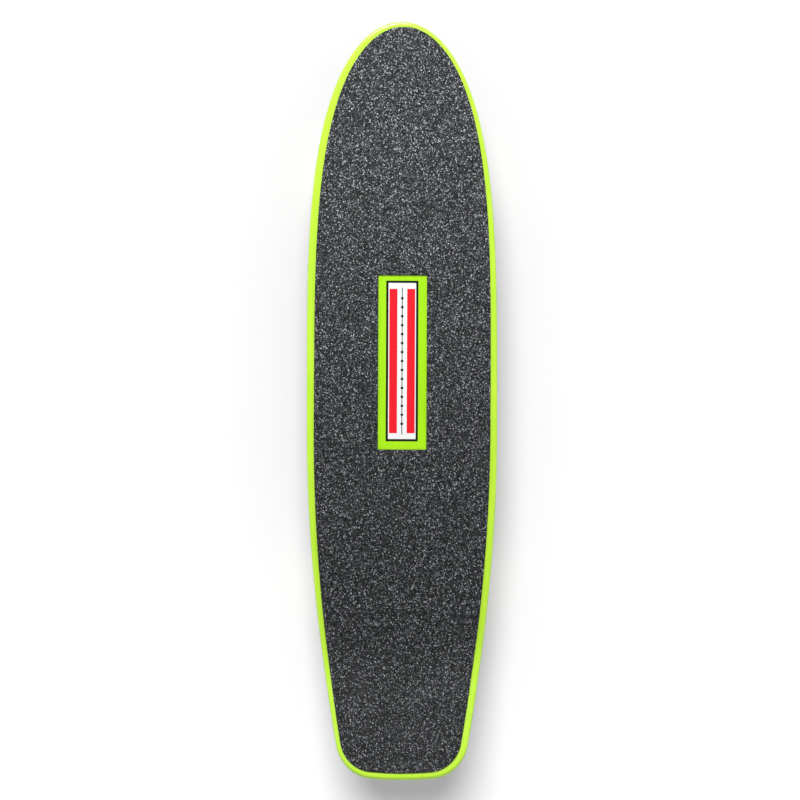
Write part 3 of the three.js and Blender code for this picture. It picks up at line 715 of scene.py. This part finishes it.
def make_decal():
    """A plain decal in the window: a black frame, a white panel, red side bands and a dotted line."""
    x, y, length, width = (DECAL[key] for key in ("x", "y", "length", "width"))
    inner = width / 2 - DECAL_LINE
    film("decal_frame", [(x, y, length, width)], 0, INK_BLACK)
    film("decal_panel", [(x, y, length - 2 * DECAL_LINE, 2 * inner)], 1, INK_WHITE)
    offset = inner - BAND["width"] / 2 - 1
    film("decal_bands", [(x, y + side * offset, BAND["length"], BAND["width"]) for side in (-1, 1)],
         2, INK_RED)
    film("decal_line", [(x, y, length - 6 * DECAL_LINE, CENTRE_LINE)], 2, INK_BLACK)
    dot_film("decal_dots", 3, INK_BLACK)


# ---- Trucks ----

def upright(lean):
    """Turns a piece made about Z to lean outwards in the truck's side plane."""
    return Matrix.Rotation(lean, 4, "Y")


def truck_frame(truck):
    """The frame of a truck's base plate, in millimetres, from its steering joint's place and axis."""
    joint = JOINTS[f"{truck}_steer"]
    heading = 0 if joint["axis"][0] > 0 else math.pi
    return (Matrix.Translation(joint["pos_m"]) @ Matrix.Rotation(heading, 4, "Z")
            @ upright(CAMBER_ANGLE) @ Matrix.Scale(MM, 4) @ Matrix.Translation(-PIVOT_TIP))


def place(bm, matrix):
    bm.transform(matrix)
    return bm


def plate_mesh(top, thickness, bevel):
    """A plate with round corners and softened edges, its upper face at a height."""
    x, y, corner = PLATE["length"] / 2, PLATE["width"] / 2, PLATE["corner"]
    rings = []
    levels = [(0, bevel), (0.3 * bevel, 0.3 * bevel), (bevel, 0),
              (thickness - bevel, 0), (thickness - 0.3 * bevel, 0.3 * bevel), (thickness, bevel)]
    for rise, inset in levels:
        corners = [(sx * (x - inset), sy * (y - inset), corner - inset)
                   for sx, sy in CORNERS]
        rings.append([(px, py, top - thickness + rise) for px, py in rounded(corners, 8)])
    bm = bmesh.new()
    made = [[bm.verts.new(point) for point in ring] for ring in rings]
    for ring, following in zip(made, made[1:]):
        join_rings(bm, ring, following)
    bm.faces.new(made[0])
    bm.faces.new(made[-1])
    return bm


def cast_finish(node, voxel):
    """Rounds a CAD node's edges as a casting's are, and gives it cast metal."""
    remesh = node.modifiers.new("fillets", "REMESH")
    remesh.mode = "VOXEL"
    remesh.voxel_size = voxel * MM
    remesh.use_smooth_shade = True
    smooth = node.modifiers.new("soften", "SMOOTH")
    smooth.factor = 0.5
    smooth.iterations = 6
    node.data.materials.clear()
    node.data.materials.append(CAST)


def bushing(name, body, matrix, corners, node):
    bm = place(lathe(corners, 64, 5), matrix)
    finish_mesh(name, bm, [BUSHING_AMBER], body, [node])


def cup_washer(name, matrix, radius, seat, back, node):
    """A washer whose rim cups the bushing. seat is its face on the bushing, back the other face."""
    lip = 1.6 if seat < back else -1.6
    corners = [
        (5.1, seat, 0), (radius - 1.1, seat, 0.5), (radius - 0.9, seat - lip, 0.3),
        (radius, seat - lip, 0.3), (radius, back, 1.0), (5.1, back, 0.2)]
    finish_mesh(name, place(lathe(corners, 64), matrix), [ZINC], "board", [node])


def make_kingpin(truck, matrix):
    """The kingpin: a round head sunk in the base plate, a plain shank and a threaded end."""
    head = [(0, 41, 0), (7.4, 41, 0), (8.0, 40.4, 0), (8.0, 36.2, 0), (4.7, 35.4, 0)]
    rings = [circle(r, z, 24) for r, z, _ in head]
    rings += [circle(4.7, -12, 24)]
    rings += list(reversed(thread(4.6, -29.4, -12.5, 1.1, 0.45)))
    rings += [circle(3.8, -30, 24), circle(0, -30, 24)]
    finish_mesh(f"{truck}_kingpin_bolt", place(skin(rings), matrix), [ZINC], "board",
                [f"{truck}_kingpin"])
    nut = lock_nut(14.2, 4.7, 7.9)
    down = matrix @ Matrix.Translation((0, 0, -19.1)) @ Matrix.Rotation(math.pi, 4, "X")
    finish_mesh(f"{truck}_kingpin_lock_nut", place(nut, down), [ZINC, NYLON], "board",
                [f"{truck}_kingpin_nut"])


def make_stack(truck, base):
    """The bushings and washers along the kingpin, on each side of the hanger's ring."""
    matrix = base @ Matrix.Translation(RING_CENTRE) @ upright(KINGPIN_LEAN)
    make_kingpin(truck, matrix)
    barrel = [(5.0, 0.6, 0.3), (6.8, 0.6, 0.5), (6.8, 4.8, 0), (10.9, 4.8, 0.8), (11.6, 7.5, 1.5),
              (11.6, 15.5, 1.5), (10.9, 18.0, 0.8), (5.0, 18.0, 0.3)]
    cone = [(5.0, -17.0, 0.3), (9.0, -17.0, 1.0), (11.6, -6.4, 1.2), (10.6, -4.8, 0.6),
            (6.8, -4.8, 0), (6.8, -0.6, 0.5), (5.0, -0.6, 0.3)]
    bushing(f"{truck}_barrel_bushing", "board", matrix, barrel, f"{truck}_board_side_bushing")
    bushing(f"{truck}_cone_bushing", "board", matrix, cone, f"{truck}_road_side_bushing")
    cup_washer(f"{truck}_large_cup_washer", matrix, 12.7, 18.1, 19.9, f"{truck}_board_side_washer")
    cup_washer(f"{truck}_small_cup_washer", matrix, 10.7, -17.1, -18.9, f"{truck}_road_side_washer")


def make_pivot_cup(truck, base):
    """The plastic cup in the base plate that the hanger's pivot turns in."""
    matrix = base @ Matrix.Translation(PIVOT_TIP) @ upright(math.pi / 2 - PIVOT_ANGLE)
    corners = [(0, 6.2, 0), (7.3, 6.2, 0.8), (7.3, -6.6, 0), (8.6, -6.9, 0.4), (8.6, -8.0, 0.5),
               (5.2, -8.0, 0.4), (4.9, -5.5, 0), (4.9, 0, 2.0), (2.6, 4.2, 1.0), (0, 4.9, 0)]
    finish_mesh(f"{truck}_pivot_cup_liner", place(lathe(corners, 48), matrix), [CUP_PLASTIC], "board",
                [f"{truck}_pivot_cup"])


def make_fasteners(truck, base):
    """The flat-headed bolts and their lock nuts, under the base plate."""
    top = RISER + 2 * FIT_GAP + 2 * TOP_FACE - 0.5
    places = [(1, 1), (1, -1), (-1, -1), (-1, 1)]
    for i, (sx, sy) in enumerate(places, 1):
        spot = Matrix.Translation((sx * BOLT_SPACING[0] / 2, sy * BOLT_SPACING[1] / 2, 0))
        matrix = base @ spot
        rings = [circle(0, top, 24), circle(4.6, top, 24), circle(4.5, top - 0.4, 24),
                 circle(2.35, top - 2.6, 24), circle(2.35, -5, 24)]
        rings += list(reversed(thread(2.3, -13.6, -5.2, 0.8, 0.3)))
        rings += [circle(1.8, -14.2, 24), circle(0, -14.2, 24)]
        finish_mesh(f"{truck}_deck_bolt_{i}", place(skin(rings), matrix), [BLACK_STEEL], "board",
                    [f"{truck}_mounting_bolt_{i}"])
        nut = lock_nut(9.5, 2.4, 5.6)
        under = Matrix.Translation((0, 0, -PLATE["thickness"] - FIT_GAP))
        down = matrix @ under @ Matrix.Rotation(math.pi, 4, "X") @ Matrix.Rotation(0.7 * i, 4, "Z")
        finish_mesh(f"{truck}_deck_lock_nut_{i}", place(nut, down), [BLACK_STEEL, NYLON], "board")


def make_axle(truck, body):
    """The axle through the hanger, threaded at both ends."""
    left, right = (Vector(JOINTS[f"{truck}_{side}_spin"]["pos_m"]) for side in ("left", "right"))
    middle = (left + right) / 2
    matrix = Matrix.Translation(middle) @ Matrix.Rotation(-math.pi / 2, 4, "X") @ Matrix.Scale(MM, 4)
    end, reach = 83, 72
    rings = [circle(0, -end, 24), circle(3.2, -end, 24)]
    rings += thread(3.95, 0.6 - end, -reach, 1.25, 0.45)
    rings += thread(3.95, reach, end - 0.6, 1.25, 0.45)
    rings += [circle(3.2, end, 24), circle(0, end, 24)]
    finish_mesh(f"{truck}_axle_rod", place(skin(rings), matrix), [BEARING_STEEL], body,
                [f"{truck}_axle"])


def make_truck(truck):
    base = truck_frame(truck)
    body = f"{truck}_hanger_set"
    riser = place(plate_mesh(FIT_GAP + RISER, RISER, 0.7), base)
    finish_mesh(f"{truck}_riser", riser, [RISER_RUBBER], "board", [f"{truck}_riser_pad"])
    cast_finish(frame["nodes"][f"{truck}_base_plate"], 0.7)
    cast_finish(frame["nodes"][f"{truck}_hanger"], 0.65)
    make_stack(truck, base)
    make_pivot_cup(truck, base)
    make_fasteners(truck, base)
    make_axle(truck, body)


# ---- Wheels ----

def outward_frame(truck, side):
    """A wheel's frame in millimetres, with Z along its axle, away from the board's middle."""
    centre = Vector(JOINTS[f"{truck}_{side}_spin"]["pos_m"])
    turn = -math.pi / 2 if centre.y > 0 else math.pi / 2
    return Matrix.Translation(centre) @ Matrix.Rotation(turn, 4, "X") @ Matrix.Scale(MM, 4)


def tyre_mesh():
    """A cast wheel: a flat tread, round lips, and a dished side with a step round the bearing seat."""
    r, half = WHEEL_RADIUS, WHEEL_HALF
    side = [(r, half - 4.6, 4.2), (r - 5.4, half, 3.0), (r - 11, half - 0.5, 1.0),
            (r - 11.8, half - 1.1, 0.4), (15.4, half - 1.3, 1.2), (12.8, half - 5.2, 1.0),
            (12.4, 12.1, 0.5), (11.15, 12.0, 0.3)]
    ledge = [(11.15, 4.8, 0.0), (9.3, 4.8, 0.4)]
    upper = side + ledge
    lower = [(x, -y, rounding) for x, y, rounding in reversed(upper)]
    return lathe(upper + lower, 128, 6)


def make_bearing(name, wheel_body, hanger_body, matrix):
    """A bearing that faces along Z, with its speed ring."""
    width = BEARING_WIDTH
    outer = [(9.3, 0.2, 0), (10.8, 0.0, 0), (11.0, 0.3, 0), (11.0, width - 0.3, 0), (10.7, width, 0),
             (9.9, width, 0.2), (9.7, width - 0.5, 0), (9.3, width - 0.6, 0)]
    shield = [(6.35, width - 0.75, 0), (6.45, width - 0.35, 0.1), (7.1, width - 0.2, 0.2),
              (7.6, width - 0.45, 0.2), (9.0, width - 0.45, 0.1), (9.6, width - 0.3, 0.1),
              (9.6, width - 0.75, 0)]
    inner = [(4.2, 0.2, 0.2), (5.8, 0.2, 0.2), (5.8, width, 0.25), (4.2, width, 0.25)]
    washer = [(4.2, width + 0.05, 0), (5.9, width + 0.05, 0.1), (5.9, width + SPEED_RING, 0.15),
              (4.2, width + SPEED_RING, 0.15)]
    finish_mesh(f"{name}_outer_ring", place(lathe(outer, 72), matrix), [BEARING_STEEL], wheel_body,
                [f"{name}_outer_race"])
    finish_mesh(f"{name}_shield", place(lathe(shield, 72), matrix), [SHIELD], wheel_body)
    finish_mesh(f"{name}_inner_ring", place(lathe(inner, 48), matrix), [BEARING_STEEL], hanger_body,
                [f"{name}_inner_race"])
    finish_mesh(f"{name}_speed_ring", place(lathe(washer, 48), matrix), [RING_STEEL], hanger_body)


def make_wheel(truck, side):
    name = f"{truck}_{side}"
    wheel_body, hanger_body = f"{name}_wheel_set", f"{truck}_hanger_set"
    matrix = outward_frame(truck, side)
    finish_mesh(f"{name}_tyre", place(tyre_mesh(), matrix), [WHEEL_CREAM], wheel_body,
                [f"{name}_wheel"])
    for where, turn in (("outboard", 0), ("inboard", math.pi)):
        seat = matrix @ Matrix.Rotation(turn, 4, "X") @ Matrix.Translation((0, 0, BEARING_SEAT))
        make_bearing(f"{name}_{where}", wheel_body, hanger_body, seat)
    spacer = [(4.2, -4.9, 0.2), (5.2, -4.9, 0.2), (5.2, 4.9, 0.2), (4.2, 4.9, 0.2)]
    finish_mesh(f"{name}_spacer", place(lathe(spacer, 48), matrix), [ZINC], hanger_body)
    seat = BEARING_SEAT + BEARING_WIDTH + SPEED_RING + 0.1
    nut = place(lock_nut(12.6, 4.1, 6.7), matrix @ Matrix.Translation((0, 0, seat)))
    finish_mesh(f"{name}_axle_lock_nut", nut, [ZINC, NYLON], hanger_body,
                [f"{name}_axle_nut"])


# ---- Stage ----

FLOOR_HALF = 8.0
FLOOR_LEVEL = -0.0002  # just under the wheels
CAMERA_HEIGHT = 2.6
CAMERA_LENS = 111.5
CAMERA_AIM = (-0.002, 0.002)
ZENITH = 0.25
HORIZON = 1.0
KEY = {"place": (1.9, 0.25, 1.9), "aim": (0.0, 0.0, 0.1), "size": 0.9, "power": 62}
WASH = {"place": (2.9, 0.35, 5.6), "aim": (0.0, 0.0, 0.0), "angle": math.radians(27), "power": 2.28}


def make_floor():
    mesh = bpy.data.meshes.new("floor")
    corners = [(sx * FLOOR_HALF, sy * FLOOR_HALF, FLOOR_LEVEL) for sx, sy in CORNERS]
    mesh.from_pydata(corners, [], [(0, 1, 2, 3)])
    floor = bpy.data.objects.new("floor", mesh)
    material, tree, shader = new_material("pale_floor", Roughness=0.8, Specular_IOR_Level=0.2)
    tone = ramp(tree, noise_at(tree, 3), [(0.3, 0.93), (0.7, 0.95)])
    tree.links.new(tone, shader.inputs["Base Color"])
    mesh.materials.append(material)
    bpy.context.scene.collection.objects.link(floor)
    return floor


def add_lamp(name, kind, position, aim, power, **settings):
    """A lamp at a position, turned towards its aim."""
    light = bpy.data.lights.new(name, kind)
    light.energy = power
    for key, value in settings.items():
        setattr(light, key, value)
    lamp = bpy.data.objects.new(name, light)
    lamp.location = position
    lamp.rotation_euler = (Vector(aim) - Vector(position)).to_track_quat("-Z", "Y").to_euler()
    bpy.context.scene.collection.objects.link(lamp)
    return lamp


def link_light(lamp, floor, state):
    """Makes a lamp light the floor alone (INCLUDE) or everything but the floor (EXCLUDE)."""
    receivers = bpy.data.collections.new(f"{lamp.name}_receivers")
    receivers.objects.link(floor)
    receivers.collection_objects[0].light_linking.link_state = state
    lamp.light_linking.receiver_collection = receivers


def make_room():
    """An even room, paler towards the horizon than overhead."""
    world = bpy.data.worlds.new("studio")
    world.use_nodes = True
    tree = world.node_tree
    direction = add_node(tree, "ShaderNodeTexCoord").outputs["Generated"]
    height = add_node(tree, "ShaderNodeSeparateXYZ", {"Vector": direction}).outputs["Z"]
    shade = ramp(tree, height, [(0.0, HORIZON), (1.0, ZENITH)])
    tree.links.new(shade, tree.nodes["Background"].inputs["Color"])
    bpy.context.scene.world = world


def make_light(floor):
    """A lamp past the nose, a little to the left, for the board, and a soft sun for an even floor."""
    make_room()
    key = add_lamp("key", "AREA", KEY["place"], KEY["aim"], KEY["power"], shape="DISK", size=KEY["size"])
    link_light(key, floor, "EXCLUDE")
    wash = add_lamp("floor_wash", "SUN", WASH["place"], WASH["aim"], WASH["power"], angle=WASH["angle"])
    link_light(wash, floor, "INCLUDE")


def make_camera():
    """Straight above the deck, with the nose at the top of the picture."""
    data = bpy.data.cameras.new("camera")
    data.lens = CAMERA_LENS
    camera = bpy.data.objects.new("camera", data)
    camera.location = (*CAMERA_AIM, CAMERA_HEIGHT)
    camera.rotation_euler = (0, 0, -math.pi / 2)
    bpy.context.scene.collection.objects.link(camera)
    bpy.context.scene.camera = camera


bpy.context.scene.view_settings.view_transform = "Standard"
make_camera()
make_light(make_floor())
make_deck()
make_grip()
make_decal()
for truck_name in ("front", "rear"):
    make_truck(truck_name)
    for side_name in ("left", "right"):
        make_wheel(truck_name, side_name)
